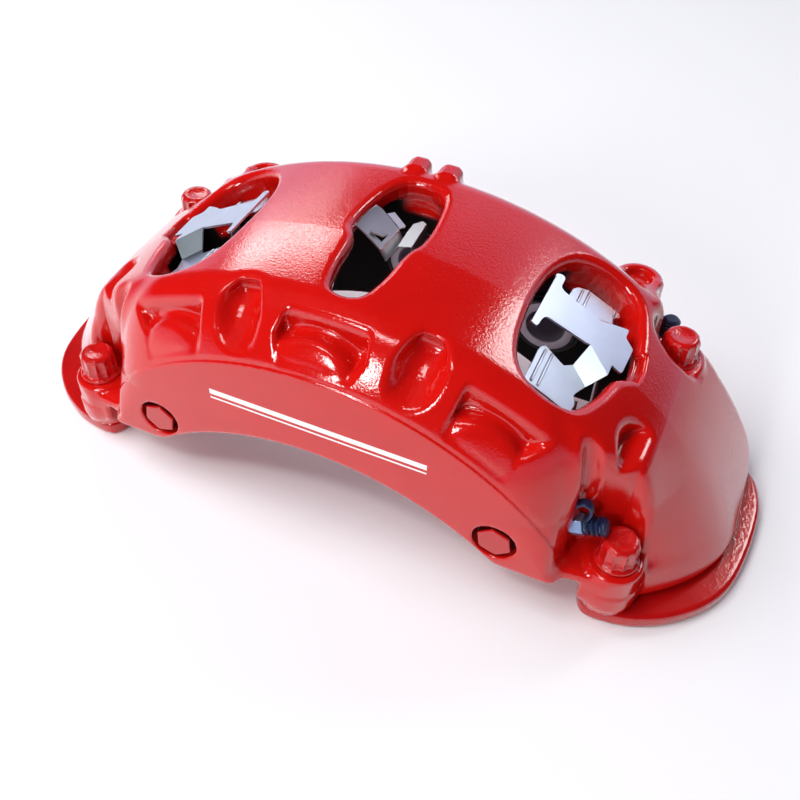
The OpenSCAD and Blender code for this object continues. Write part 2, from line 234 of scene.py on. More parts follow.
def inboard_parts(d, x, y, z):
    """Knuckle lugs, rear bolt columns with their spot faces, rear stubs and bore housings."""
    ax = np.abs(x)
    lug = cyl_z(ax, y, z, LUG_X, LUG_Y, 12.4, 54.0, 90.5, 4.0)
    web = smax(np.abs(ax - LUG_X) - 12, smax(np.abs(y - 58) - 8, np.abs(z - 72) - 18, 3.0), 3.0)
    lug = smin(lug, web, 3.0)
    lug = smin(lug, cyl_y(ax, y, z, LUG_X, LUG_HOLE_Z, 12.0, 60.0, LUG_FACE_Y, 1.2), 3.0)
    d = smin(d, lug, 7.0)
    bleed_x, bleed_y, bleed_z = BLEED_REAR
    rear = cyl_z(ax, y, z, *BOLT_REAR, COLUMN_R, BRACKET_T, SEAT_REAR_Z, 2.0)
    rear = smin(rear, cyl_z(ax, y, z, bleed_x, bleed_y, 8.4, 36.0, bleed_z, 2.0), 3.0)
    d = smax(d, -cyl_z(ax, y, z, *BOLT_REAR, 14.0, SEAT_REAR_Z, 150.0, 3.0), 4.0)
    d = smax(d, -cyl_z(ax, y, z, bleed_x, bleed_y, 9.6, bleed_z, 150.0, 1.5), 2.0)
    d = smin(d, rear, 3.5)
    for cx, half in ((-8.7, 5.5), (6.8, 5.7)):
        stub = smax(np.abs(x - cx) - half, np.abs(y - 52) - 6.5, 3.0)
        chamfer = 0.5 * np.maximum(np.abs(x - cx) - 2.6, 0)
        top_face = z - 128.8 + 0.55 * np.maximum(49.5 - y, 0) + chamfer
        d = smin(d, smax(smax(stub, top_face, 1.6), 108 - z, 1.0), 2.6)
    for cx, cz, radius in PISTONS.values():
        d = smin(d, cyl_y(x, y, z, cx, cz, radius + 8, 50.0, 70.5, 3.0), 6.0)
    return d


def openings(d, outside, x, y, z, r, th):
    """Disc slot, pad pocket, windows, dimples, bores and drillings."""
    ax = np.abs(x)
    disc_slot = smax(np.abs(y) - SLOT_HALF, r - SLOT_R, 2.0)
    d = smax(d, -smax(disc_slot, outside + 4.5, 2.0), 2.4)
    pocket = smax(np.abs(y) - POCKET_HALF_W, ax - POCKET_HALF_L, 2.0)
    d = smax(d, -smax(pocket, r - SLOT_R + 0.6, 2.0), 2.4)
    along = BRIDGE_R * th
    d = smax(d, -smax(polygon(along, y, SIDE_WINDOW) + 1.4, 186 - r, 2.0), 4.6)
    d = smax(d, -smax(polygon(along, y, WINDOW_NOTCH) + 0.8, -outside - 5.0, 1.0), 1.6)
    d = smax(d, -smax(polygon(x, y, MIDDLE_WINDOW), 112 - z, 2.0), 4.4)
    dimple = ellipse_like(np.abs(ax - 126.5), np.abs(y + 33), 8.4, 12.6)
    d = smax(d, -smax(dimple, 79 - z + 0.25 * (ax - 126), 3.0), 3.0)
    for cx, cz, radius in PISTONS.values():
        bore = cyl_y(x, np.abs(y), z, cx, cz, radius + 0.35, 30.0, BORE_END, 1.0)
        boot_groove = cyl_y(x, np.abs(y), z, cx, cz, radius + 3.2, 30.0, 42.6, 0.6)
        d = smax(d, -np.minimum(bore, boot_groove), 0.8)
    for sign in (1, -1):
        d = smax(d, -cyl_y(sign * x, y, z, *PLUG, PLUG_R, -90.0, -BORE_END, 0.5), 1.0)
    d = smax(d, -cyl_y(ax, y, z, LUG_X, LUG_HOLE_Z, 6.4, 51.0, 90.0, 0.5), 1.0)
    d = smax(d, -cyl_y(x, y, z, *INLET, 56.0, 90.0, 0.5), 1.0)
    return smax(d, -cyl_z(ax, y, z, LUG_X, LUG_Y, 6.2, 87.0, 120.0, 3.0), 2.5)


def housing(x, y, z):
    """Signed distance to the one-piece housing, in millimetres."""
    ax = np.abs(x)
    zc = z + AXIS_DROP
    r = np.hypot(x, zc)
    th = np.arctan2(ax, zc)
    skin = skin_radius(y, th)
    slope_y = (skin_radius(y + 0.4, th) - skin) / 0.4
    slope_t = (skin_radius(y, th + 0.003) - skin) / 0.003
    top = (r - skin) / np.sqrt(1 + slope_y ** 2 + (slope_t / np.maximum(r, 60)) ** 2)
    ledge = np.hypot(x, z - FACE_ARC_Z) - FACE_ARC_R
    outside = outer_body(ax, y, z, r, top, ledge)
    d = outside
    for sign, *pocket in POCKETS:
        d = smax(d, -pocket_cut(sign * x, y, z, top, ledge, *pocket), 2.6)
    d = front_recess(d, ax, y, z)
    # lower edge of both halves, and the skirt at the ends
    d = smax(d, LOWER_R - r, 2.2)
    d = smax(d, smax(12 - z, smin(26 - z, 121 - ax, 3.0), 1.5), 2.2)
    d = smin(d, cyl_z(ax, y, z, *BOLT_FRONT, COLUMN_R, BRACKET_T, 20.0, 1.0), 3.0)
    d = inboard_parts(d, x, y, z)
    return openings(d, outside, x, y, z, r, th)


BRACKET = smooth_outline([
    (118.5, -40), (120.5, -55), (123.5, -61.8), (128.5, -64), (140, -63), (151.1, -59.4),
    (163.5, -52), (175.6, -40), (183.6, -25), (187.8, -3), (189, 20), (187, 34), (182.4, 44),
    (172, 52.5), (150, 54.5), (130, 54.6), (119.4, 51), (116.6, 40), (116.8, 15), (117.5, -15)], 4)
BRACKET_SLOT_X = 174.5
BRACKET_HOLE_R = 5.0


def bracket(x, y, z):
    """Signed distance to the right end bracket, in millimetres."""
    half_t = BRACKET_T / 2
    d = smax(polygon(x, y, BRACKET), np.abs(z - half_t) - half_t, 2.6)
    d = smin(d, cyl_z(x, y, z, *BOLT_REAR, 13.0, 0.0, BRACKET_T, 2.0), 3.0)
    slot = smax(np.abs(y) - SLOT_HALF - 1, x - BRACKET_SLOT_X, 14.0)
    d = smax(d, -slot, 2.4)
    for at in (BOLT_FRONT, BOLT_REAR):
        d = smax(d, -(np.hypot(x - at[0], y - at[1]) - BRACKET_HOLE_R), 0.6)
    return d


def solid_from(name, field, lo, hi, step, mirrored=False, adaptivity=0.0):
    """Mesh of a distance field: sampled near its surface, then pulled exactly onto it."""
    block = 5
    lo = np.array(lo, float)
    cells = np.ceil((np.array(hi, float) - lo) / (step * block)).astype(int)
    size = step * block
    centres = [lo[a] + size * (np.arange(cells[a]) + 0.5) for a in range(3)]
    coarse = field(centres[0][:, None, None], centres[1][None, :, None], centres[2][None, None, :])
    near = np.abs(coarse) < size * 1.35
    dense = np.repeat(np.repeat(np.repeat(np.where(coarse < 0, -size, size), block, 0), block, 1), block, 2)
    dense = dense.astype(np.float32)
    ijk = np.argwhere(near)
    offs = np.stack(np.meshgrid(*[np.arange(block)] * 3, indexing="ij"), -1).reshape(-1, 3)
    for part in np.array_split(ijk, max(1, len(ijk) // 3000)):
        idx = (part[:, None, :] * block + offs[None]).reshape(-1, 3)
        p = lo + step * (idx + 0.5)
        dense[idx[:, 0], idx[:, 1], idx[:, 2]] = field(p[:, 0], p[:, 1], p[:, 2])
    grid = openvdb.FloatGrid(float(size))
    grid.copyFromArray(dense)
    points, triangles, quads = grid.convertToPolygons(isovalue=0.0, adaptivity=adaptivity)
    p = lo + step * (np.array(points, float) + 0.5)
    e = 0.06
    for _ in range(3):
        d = field(p[:, 0], p[:, 1], p[:, 2])
        g = np.stack([field(p[:, 0] + e * (a == 0), p[:, 1] + e * (a == 1), p[:, 2] + e * (a == 2)) - d
                      for a in range(3)], 1) / e
        n2 = np.maximum((g ** 2).sum(1), 0.05)
        move = g * (d / n2)[:, None]
        length = np.linalg.norm(move, axis=1, keepdims=True)
        p -= move * np.minimum(1, step * 0.8 / np.maximum(length, 1e-9))
    g = np.stack([field(p[:, 0] + e * (a == 0), p[:, 1] + e * (a == 1), p[:, 2] + e * (a == 2))
                  - field(p[:, 0] - e * (a == 0), p[:, 1] - e * (a == 1), p[:, 2] - e * (a == 2))
                  for a in range(3)], 1)
    normals = g / np.maximum(np.linalg.norm(g, axis=1, keepdims=True), 1e-9)
    faces = [tuple(q) for q in quads.tolist()] + [tuple(t) for t in triangles.tolist()]
    if mirrored:
        p[:, 0] *= -1
        normals[:, 0] *= -1
        faces = [f[::-1] for f in faces]
    mesh = bpy.data.meshes.new(name)
    mesh.from_pydata((p * MM).tolist(), [], faces)
    mesh.validate()
    mesh.polygons.foreach_set("use_smooth", np.ones(len(mesh.polygons), bool))
    mesh.normals_split_custom_set_from_vertices(normals.tolist())
    obj = bpy.data.objects.new(name, mesh)
    bpy.context.scene.collection.objects.link(obj)
    return obj


STEP = 1.2
FINE = 0.5
TILT = math.radians(20)
HALVES = {"outer": -1, "inner": 1}


# ---------------------------------------------------------------- materials
def calc(nt, operation, a, b=0.0):
    """One Math node; a and b are numbers or sockets."""
    node = nt.nodes.new("ShaderNodeMath")
    node.operation = operation
    for socket, value in zip(node.inputs, (a, b)):
        if isinstance(value, (int, float)):
            socket.default_value = value
        else:
            nt.links.new(value, socket)
    return node.outputs[0]


def remap(nt, value, from_min, from_max, to_min, to_max):
    """Map Range node, clamped."""
    node = nt.nodes.new("ShaderNodeMapRange")
    node.inputs["From Min"].default_value = from_min
    node.inputs["From Max"].default_value = from_max
    node.inputs["To Min"].default_value = to_min
    node.inputs["To Max"].default_value = to_max
    nt.links.new(value, node.inputs["Value"])
    return node.outputs["Result"]


def mix_colour(nt, factor, a, b):
    """Colour a where factor is 0 and colour b where it is 1; a is a socket, b a colour."""
    node = nt.nodes.new("ShaderNodeMix")
    node.data_type = "RGBA"
    nt.links.new(factor, node.inputs["Factor"])
    nt.links.new(a, node.inputs["A"])
    node.inputs["B"].default_value = (*b, 1)
    return node.outputs["Result"]


BUMP_DEPTH = 0.0002


def material(name, colour, rough, metal=0.0, coat=0.0, coat_rough=0.05, bump=0.0, bump_scale=400.0,
             vary=0.06, vary_scale=60.0, specular=0.5):
    """Principled material with procedural colour and roughness variation and a fine bump."""
    m = bpy.data.materials.new(name)
    m.use_nodes = True
    nt = m.node_tree
    b = nt.nodes["Principled BSDF"]
    b.inputs["Metallic"].default_value = metal
    b.inputs["Coat Weight"].default_value = coat
    b.inputs["Coat Roughness"].default_value = coat_rough
    b.inputs["Specular IOR Level"].default_value = specular
    coord = nt.nodes.new("ShaderNodeTexCoord")
    wide = nt.nodes.new("ShaderNodeTexNoise")
    wide.inputs["Scale"].default_value = vary_scale
    wide.inputs["Detail"].default_value = 5.0
    nt.links.new(coord.outputs["Object"], wide.inputs["Vector"])
    ramp = nt.nodes.new("ShaderNodeValToRGB")
    for element, place, gain in zip(ramp.color_ramp.elements, (0.3, 0.7), (1 - vary, 1 + vary)):
        element.position = place
        element.color = (*[min(1.0, c * gain) for c in colour], 1)
    nt.links.new(wide.outputs["Fac"], ramp.inputs["Fac"])
    nt.links.new(ramp.outputs["Color"], b.inputs["Base Color"])
    spread = remap(nt, wide.outputs["Fac"], 0.0, 1.0, rough * 0.85, rough * 1.2)
    nt.links.new(spread, b.inputs["Roughness"])
    if bump > 0:
        fine = nt.nodes.new("ShaderNodeTexNoise")
        fine.inputs["Scale"].default_value = bump_scale
        fine.inputs["Detail"].default_value = 2.0
        nt.links.new(coord.outputs["Object"], fine.inputs["Vector"])
        relief = nt.nodes.new("ShaderNodeBump")
        relief.inputs["Strength"].default_value = bump
        relief.inputs["Distance"].default_value = BUMP_DEPTH
        nt.links.new(fine.outputs["Fac"], relief.inputs["Height"])
        for target in ("Normal", "Coat Normal"):
            nt.links.new(relief.outputs["Normal"], b.inputs[target])
    return m


STRIPE_WHITE = (0.9, 0.9, 0.9)


def add_stripes(m, stripes):
    """Plain white bars on the outboard face: (middle height, half height, half length) of each."""
    nt = m.node_tree
    b = nt.nodes["Principled BSDF"]
    place = nt.nodes.new("ShaderNodeSeparateXYZ")
    coord = nt.nodes.new("ShaderNodeTexCoord")
    nt.links.new(coord.outputs["Object"], place.inputs[0])
    x, y, z = place.outputs
    total = None
    for height, half_h, half_l in stripes:
        off_middle = calc(nt, "ABSOLUTE", calc(nt, "SUBTRACT", z, height * MM))
        across = calc(nt, "LESS_THAN", off_middle, half_h * MM)
        lengthwise = calc(nt, "LESS_THAN", calc(nt, "ABSOLUTE", x), half_l * MM)
        stripe = calc(nt, "MULTIPLY", across, lengthwise)
        total = stripe if total is None else calc(nt, "MAXIMUM", total, stripe)
    total = calc(nt, "MULTIPLY", total, calc(nt, "LESS_THAN", y, (0.4 - FACE_Y) * MM))
    base = b.inputs["Base Color"].links[0].from_socket
    nt.links.new(mix_colour(nt, total, base, STRIPE_WHITE), b.inputs["Base Color"])


def paint_shade_inside(m, colour):
    """Painted shade inside the pad space: near-black colour, no coat and a duller finish where the mesh's
    marks are set.
    """
    nt = m.node_tree
    b = nt.nodes["Principled BSDF"]
    mark = nt.nodes.new("ShaderNodeAttribute")
    mark.attribute_name = "inside"
    base = b.inputs["Base Color"].links[0].from_socket
    nt.links.new(mix_colour(nt, mark.outputs["Fac"], base, colour), b.inputs["Base Color"])
    nt.links.new(calc(nt, "SUBTRACT", 1.0, mark.outputs["Fac"]), b.inputs["Coat Weight"])
    smooth = b.inputs["Roughness"].links[0].from_socket
    dull = calc(nt, "MULTIPLY", mark.outputs["Fac"], 0.8)
    nt.links.new(calc(nt, "MAXIMUM", smooth, dull), b.inputs["Roughness"])


RED = material("red_paint", (0.58, 0.005, 0.003), 0.16, coat=1.0, coat_rough=0.03, bump=0.38,
               bump_scale=950, vary=0.04, specular=0.2)
add_stripes(RED, ((74.2, 1.5, 51.0), (70.6, 0.5, 51.0)))
# painted shade: the pad space and disc slot are coloured near black in place of their shadow
paint_shade_inside(RED, (0.003, 0.002, 0.002))
BRACKET_RED = material("bracket_paint", (0.50, 0.005, 0.005), 0.2, coat=1.0, coat_rough=0.05, bump=0.25,
                       bump_scale=600, vary=0.08, specular=0.2)
BOLT_RED = material("bolt_paint", (0.52, 0.006, 0.006), 0.22, coat=1.0, coat_rough=0.05, bump=1.0,
                    bump_scale=700, vary=0.14, vary_scale=300, specular=0.2)
PLUG_DARK = material("plug_shadow", (0.05, 0.002, 0.003), 0.4)
STEEL = material("spring_steel", (0.74, 0.84, 0.92), 0.32, metal=1.0, bump=0.06, bump_scale=260, vary=0.05)
CLIP_STEEL = material("clip_steel", (0.60, 0.61, 0.62), 0.36, metal=1.0, bump=0.06, bump_scale=260,
                      vary=0.07)
HEX_STEEL = material("bleed_screw_plating", (0.30, 0.42, 0.66), 0.3, metal=0.85, bump=0.1,
                     bump_scale=500, vary=0.1)
PISTON = material("piston_metal", (0.48, 0.46, 0.54), 0.42, metal=0.5, bump=0.05, bump_scale=800, vary=0.06)
RUBBER = material("seal_rubber", (0.010, 0.010, 0.012), 0.55, bump=0.2, bump_scale=700)
CAP = material("cap_rubber", (0.008, 0.016, 0.060), 0.38, bump=0.2, bump_scale=900)


def finish_piece(obj, body, slot_name, look, *nodes):
    """Gives a piece its material and body, and hides the CAD nodes it stands for."""
    if not obj.data.materials:
        obj.data.materials.append(look)
    if body:
        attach(obj, body)
    if nodes:
        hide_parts(*nodes)
    return obj


# ---------------------------------------------------------------- housing and brackets
def mark_painted_shade(obj):
    """Marks the vertices of the pad space and the disc slot, which get painted shade: they are coloured near
    black.
    """
    co = np.empty(len(obj.data.vertices) * 3)
    obj.data.vertices.foreach_get("co", co)
    x, y, z = (co.reshape(-1, 3) / MM).T
    r = np.hypot(x, z + AXIS_DROP)
    past_end = np.maximum(np.abs(y) - POCKET_HALF_W, np.abs(x) - POCKET_HALF_L)
    pad_space = np.maximum(past_end, r - SLOT_R + 1.5)
    disc_space = np.maximum(np.abs(y) - SLOT_HALF, r - SLOT_R + 0.6)
    under_skin = skin_radius(y, np.arctan2(np.abs(x), z + AXIS_DROP)) - 3.0
    deep = np.maximum(np.minimum(pad_space, disc_space), r - under_skin)
    mark = obj.data.attributes.new("inside", "FLOAT", "POINT")
    mark.data.foreach_set("value", np.clip(1.2 - deep, 0, 1))


SIDES = (("right", False), ("left", True))
casting = solid_from("housing_casting", housing, (-192, -79, 5), (192, 83, 135), STEP)
mark_painted_shade(casting)
finish_piece(casting, "housing", "red_housing_paint", RED, "caliper_housing")
for side, flip in SIDES:
    plate = solid_from("bracket_" + side, bracket, (112, -68, -2), (194, 60, 11), STEP * 0.8, flip)
    finish_piece(plate, "housing", "red_bracket_paint", BRACKET_RED, "end_bracket_" + side)


# ---------------------------------------------------------------- bolts and plugs
HEXAGON = (0, 60, 120)
HEAD_R, HEAD_H = 8.5, 14.0
FLANGE_R = 9.8
SHANK_R = 4.95


def across_flats(u, v, angles):
    """Distance from the axis, measured across the flats of a hexagon facing three angles."""
    flats = []
    for angle in angles:
        a = math.radians(angle)
        flats.append(np.abs(u * math.cos(a) + v * math.sin(a)))
    return np.maximum(np.maximum(flats[0], flats[1]), flats[2])


def twelve_point(x, y, radius, k=0.7):
    """Section of a twelve-point head: two hexagons, one turned 30 degrees."""
    inner = radius * math.cos(math.pi / 6)
    straight, turned = [across_flats(x, y, [a + turn for a in HEXAGON]) - inner for turn in (0.0, 30.0)]
    return smin(straight, turned, k)


def bolt_field(cx, cy, seat):
    """Flange bolt standing on its seat, with the shank down to the bracket."""
    def field(x, y, z):
        px, py, pz = x - cx, y - cy, z - seat
        rho = np.hypot(px, py)
        head = smax(twelve_point(px, py, HEAD_R), np.abs(pz - HEAD_H / 2) - HEAD_H / 2, 1.2)
        head = smax(head, (rho + pz - 20.8) * 0.71, 1.0)
        head = smax(head, -(np.sqrt(rho ** 2 + (pz - 26.8) ** 2) - 13.4), 0.8)
        cone = pz - 2.6 + 0.35 * np.maximum(rho - 8, 0)
        flange = smax(rho - FLANGE_R, smax(-pz, cone, 0.4), 0.8)
        shank = smax(rho - SHANK_R, smax(pz - 1, 1.2 - z, 0.4), 0.4)
        return np.minimum(smin(head, flange, 1.4), shank)
    return field


for place, (cx, cy), seat in (("front", BOLT_FRONT, SEAT_FRONT_Z), ("rear", BOLT_REAR, SEAT_REAR_Z)):
    for side, flip in SIDES:
        lo, hi = (cx - 11, cy - 11, 0), (cx + 11, cy + 11, seat + 15)
        bolt = solid_from(f"{place}_bolt_{side}", bolt_field(cx, cy, seat), lo, hi, FINE, flip)
        finish_piece(bolt, "housing", "red_bolt_paint", BOLT_RED, place + "_bracket_bolts")


def plug_field(x, y, z):
    """Right face plug: sunk disc with a raised hexagon, level with the face."""
    px, pz, depth = x - PLUG[0], z - PLUG[1], y + FACE_Y
    rho = np.hypot(px, pz)
    hexagon = across_flats(px, pz, (10, 70, 130)) - 7.1
    boss = smax(hexagon, np.abs(depth - 5) - 5, 0.7)
    boss = smax(boss, (rho - depth - 7.7) * 0.71, 0.4)
    return np.minimum(boss, smax(rho - PLUG_R + 0.2, np.abs(depth - 8.3) - 3.2, 0.4))


for side, flip in SIDES:
    lo, hi = (PLUG[0] - 11, -74, PLUG[1] - 11), (PLUG[0] + 11, -60, PLUG[1] + 11)
    plug = solid_from("face_plug_" + side, plug_field, lo, hi, FINE, flip)
    for look in (BRACKET_RED, PLUG_DARK):
        plug.data.materials.append(look)
    for face in plug.data.polygons:
        face.material_index = int(face.center[1] > (1.2 - FACE_Y) * MM)
    finish_piece(plug, "housing", "red_bolt_paint", BRACKET_RED, "face_plugs")


# ---------------------------------------------------------------- turned parts
def lathe(name, profile, origin, axis, segments=72):
    """Turned part from a closed (radius, height) outline in mm, about an axis through origin."""
    turn = Vector((0, 0, 1)).rotation_difference(Vector(axis).normalized())
    verts, faces, n = [], [], len(profile)
    for i in range(segments):
        a = 2 * math.pi * i / segments
        for radius, height in profile:
            p = turn @ Vector((radius * math.cos(a), radius * math.sin(a), height))
            verts.append(((p.x + origin[0]) * MM, (p.y + origin[1]) * MM, (p.z + origin[2]) * MM))
        for j in range(n):
            k, m = (j + 1) % n, (i + 1) % segments
            faces.append((i * n + j, m * n + j, m * n + k, i * n + k))
    mesh = bpy.data.meshes.new(name)
    mesh.from_pydata(verts, [], faces)
    bm = bmesh.new()
    bm.from_mesh(mesh)
    bmesh.ops.remove_doubles(bm, verts=bm.verts, dist=1e-7)
    bmesh.ops.dissolve_degenerate(bm, dist=1e-7, edges=bm.edges)
    bmesh.ops.recalc_face_normals(bm, faces=bm.faces)
    bm.to_mesh(mesh)
    bm.free()
    mesh.polygons.foreach_set("use_smooth", np.ones(len(mesh.polygons), bool))
    mesh.set_sharp_from_angle(angle=math.radians(35))
    obj = bpy.data.objects.new(name, mesh)
    bpy.context.scene.collection.objects.link(obj)
    return obj


def arc(cx, cy, radius, start, end, count=5):
    """Points on an arc of an outline, angles in degrees."""
    out = []
    for i in range(count + 1):
        a = math.radians(start + (end - start) * i / count)
        out.append((cx + radius * math.cos(a), cy + radius * math.sin(a)))
    return out


PISTON_LEN, PISTON_OUT = 23.5, 2.5


def piston_profile(r):
    """Cup with a chamfered crown, a groove for the boot and a rounded rim."""
    base, top = PISTON_OUT - PISTON_LEN, PISTON_OUT
    outside = [(0, base), (r - 1.2, base), (r, base + 1.2), (r, top - 3.6), (r - 1.2, top - 3.4),
               (r - 1.2, top - 1.6), (r, top - 1.4)]
    rim = arc(r - 0.7, top - 0.7, 0.7, 0, 90, 3) + arc(r - 4.0, top - 0.6, 0.6, 90, 180, 3)
    cup = [(r - 4.6, base + 7)] + arc(r - 7.6, base + 7, 3.0, 0, -90, 4) + [(0, base + 4)]
    return outside + rim + cup


def boot_profile(r):
    """Bead held in the bore's mouth, and one fold that reaches the piston's groove."""
    bead = [(r + 2.0, -3.4), (r + 3.1, -3.4), (r + 3.1, -0.2)] + arc(r + 2.5, 0.4, 0.6, 0, 120, 3)
    fold = arc(r + 1.7, 0.3, 0.35, 60, -120, 3) + [(r + 1.2, 0.9)] + arc(r + 0.8, 1.5, 0.5, 0, 180, 4)
    back = [(r + 0.2, 0.2), (r + 0.75, 0.2), (r + 0.9, -0.9), (r + 1.5, -0.9), (r + 2.0, -0.6)]
    return bead + fold + back


for half, way in HALVES.items():
    for side, (px, pz, r) in PISTONS.items():
        body = f"piston_{half}_{side}_body"
        origin, axis = (px, way * POCKET_HALF_W, pz), (0, -way, 0)
        made = lathe(f"piston_{half}_{side}_turned", piston_profile(r), origin, axis)
        finish_piece(made, body, "piston_metal", PISTON, f"piston_{half}_{side}")
        made = lathe(f"boot_{half}_{side}_fold", boot_profile(r), origin, axis)
        made.data.materials.append(RUBBER)
        start, end = [(px * MM, way * (POCKET_HALF_W + off) * MM, pz * MM) for off in (0.4, -1.6)]
        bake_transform(made)
        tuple(start)
        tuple(end)
        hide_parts(f"boot_{half}_{side}")


# ---------------------------------------------------------------- bleed screws and caps
# Mouth, axis and strap route of each bleed screw
BLEEDERS = {
    "outer": (BLEED_FRONT, (math.cos(TILT), 0.0, math.sin(TILT)), [
        (107.9, -54, 51.0), (109.0, -54, 56), (110.6, -54, 60.8), (113.2, -54, 63.6),
        (116.0, -54, 62.8), (117.2, -54, 59.4), (116.6, -54, 56.2), (116.2, -54, 54.4)]),
    "inner": (BLEED_REAR, (0.0, 0.0, 1.0), [
        (121.5, 64.6, 59), (121.5, 67.0, 59.6), (121.5, 68.2, 62), (121.5, 68.0, 65.4),
        (121.5, 66.4, 68), (121.5, 64.2, 68.6)])}
THREAD_PITCH = 1.25
RIB_PITCH = 2.2
STRAP_W, STRAP_T = 4.2, 1.7


def screw_field(s, u, v):
    """Bleed screw along s: thread, neck, hexagon and nipple."""
    rho = np.hypot(u, v)
    hexagon = smax(across_flats(u, v, HEXAGON) - 4.5, np.abs(s - 5.5) - 3.0, 0.5)
    hexagon = smax(hexagon, (rho + np.abs(s - 5.5) - 7.5) * 0.71, 0.3)
    thread = smax(rho - 3.85 + 0.25 * np.cos(s * 2 * np.pi / THREAD_PITCH), np.abs(s + 6) - 6, 0.4)
    neck = smax(rho - 3.0, np.abs(s - 4) - 5, 0.3)
    nipple = smax(rho - 2.6, np.abs(s - 12) - 4.3, 0.5)
    barb = smax(rho - 3.15 + 0.35 * np.maximum(s - 14.4, 0), np.abs(s - 15.2) - 1.2, 0.3)
    return smin(smin(smin(hexagon, thread, 0.5), neck, 0.5), smin(nipple, barb, 0.4), 0.6)


def cap_field(s, u, v):
    """Ribbed rubber cap with a round closed end."""
    rho = np.hypot(u, v)
    ribs = 0.5 * np.cos((s - 10.0) * 2 * np.pi / RIB_PITCH)
    outer = smax(rho - 4.0 - np.where(s < 16.8, ribs, -0.3), smax(8.8 - s, s - 18.4, 0.5), 1.4)
    return smax(outer, -smax(rho - 3.3, s - 17.0, 0.4), 0.4)


def along(origin, axis, field):
    """A field in (distance along an axis, across, across) placed in the part's frame."""
    a = Vector(axis)
    b = Vector((-a.z, 0, a.x)) if a.x else Vector((1, 0, 0))
    c = a.cross(b)

    def placed(x, y, z):
        dx, dy, dz = x - origin[0], y - origin[1], z - origin[2]
        return field(*[dx * d.x + dy * d.y + dz * d.z for d in (a, b, c)])
    return placed


def smooth_route(path):
    """Open Catmull-Rom curve through a list of points, four steps to a span."""
    pts = [Vector(p) for p in path]
    out = []
    for i in range(len(pts) - 1):
        a, b, c, d = pts[max(i - 1, 0)], pts[i], pts[i + 1], pts[min(i + 2, len(pts) - 1)]
        for t in (0.0, 0.25, 0.5, 0.75):
            out.append(0.5 * (2 * b + (c - a) * t + (2 * a - 5 * b + 4 * c - d) * t * t
                              + (3 * b - a - 3 * c + d) * t ** 3))
    return out + [pts[-1]]


def strap(name, path, width, thick, across):
    """Flat rubber band swept along a path, with rounded edges."""
    smooth = smooth_route(path)
    side = Vector(across)
    verts, faces, ring = [], [], 10
    for i, p in enumerate(smooth):
        tangent = (smooth[min(i + 1, len(smooth) - 1)] - smooth[max(i - 1, 0)]).normalized()
        out = tangent.cross(side).normalized()
        for j in range(ring):
            a = 2 * math.pi * (j + 0.5) / ring
            w = math.copysign(abs(math.cos(a)) ** 0.5, math.cos(a)) * width / 2
            h = math.copysign(abs(math.sin(a)) ** 0.5, math.sin(a)) * thick / 2
            verts.append((p + side * w + out * h) * MM)
    for i in range(len(smooth) - 1):
        for j in range(ring):
            k = (j + 1) % ring
            faces.append((i * ring + j, i * ring + k, (i + 1) * ring + k, (i + 1) * ring + j))
    faces += [tuple(range(ring))[::-1], tuple(range((len(smooth) - 1) * ring, len(smooth) * ring))]
    mesh = bpy.data.meshes.new(name)
    mesh.from_pydata([tuple(v) for v in verts], [], faces)
    mesh.polygons.foreach_set("use_smooth", np.ones(len(mesh.polygons), bool))
    obj = bpy.data.objects.new(name, mesh)
    bpy.context.scene.collection.objects.link(obj)
    return obj


for half, (origin, axis, path) in BLEEDERS.items():
    screw_body, cap_body = f"bleed_screw_{half}_body", f"bleed_cap_{half}_body"
    main = 0 if half == "outer" else 2      # the direction that the screw mostly follows
    side = (0, 1, 0) if half == "outer" else (1, 0, 0)
    corner = [(min(o, o + a * 19) - 7, max(o, o + a * 19) + 7) for o, a in zip(origin, axis)]
    lo = [c[0] - (13 if i == main else 4) for i, c in enumerate(corner)]
    hi = [c[1] for c in corner]
    step = FINE * 0.8
    made = solid_from(f"bleed_screw_{half}_steel", along(origin, axis, screw_field), lo, hi, step)
    finish_piece(made, screw_body, "bleed_screw_steel", HEX_STEEL, "bleed_screw_" + half)
    made = solid_from(f"bleed_cap_{half}_rubber", along(origin, axis, cap_field), lo, hi, step)
    finish_piece(made, cap_body, "cap_rubber", CAP, "bleed_cap_" + half)
    ring = [(3.15, 0.2)] + arc(4.9, 1.1, 0.9, -90, 90, 6) + [(3.15, 2.0)]
    made = lathe(f"strap_loop_{half}", ring, origin, axis, 48)
    finish_piece(made, screw_body, "cap_rubber", CAP)
    made = strap(f"cap_strap_{half}_band", path, STRAP_W, STRAP_T, side)
    made.data.materials.append(CAP)
    start, end = [tuple((o + a * s) * MM for o, a in zip(origin, axis)) for s in (2.6, 9.4)]
    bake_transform(made)
    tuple(start)
    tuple(end)
    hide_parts("cap_strap_" + half)


# ---------------------------------------------------------------- sheet-metal springs
def rounded(points, radius):
    """Outline with each corner cut to a short three-point round."""
    out = []
    for i, p in enumerate(points):
        p = Vector(p)
        for q in (Vector(points[i - 1]), Vector(points[(i + 1) % len(points)])):
            reach = min(radius, (q - p).length * 0.4)
            out.append(p + (q - p).normalized() * reach)
        mid = (out[-1] + out[-2]) * 0.25 + p * 0.5
        out.insert(len(out) - 1, mid)
    return out


SHEET_T = 1.0
CLIP_T = 0.9
EDGE_ROUND = 0.22


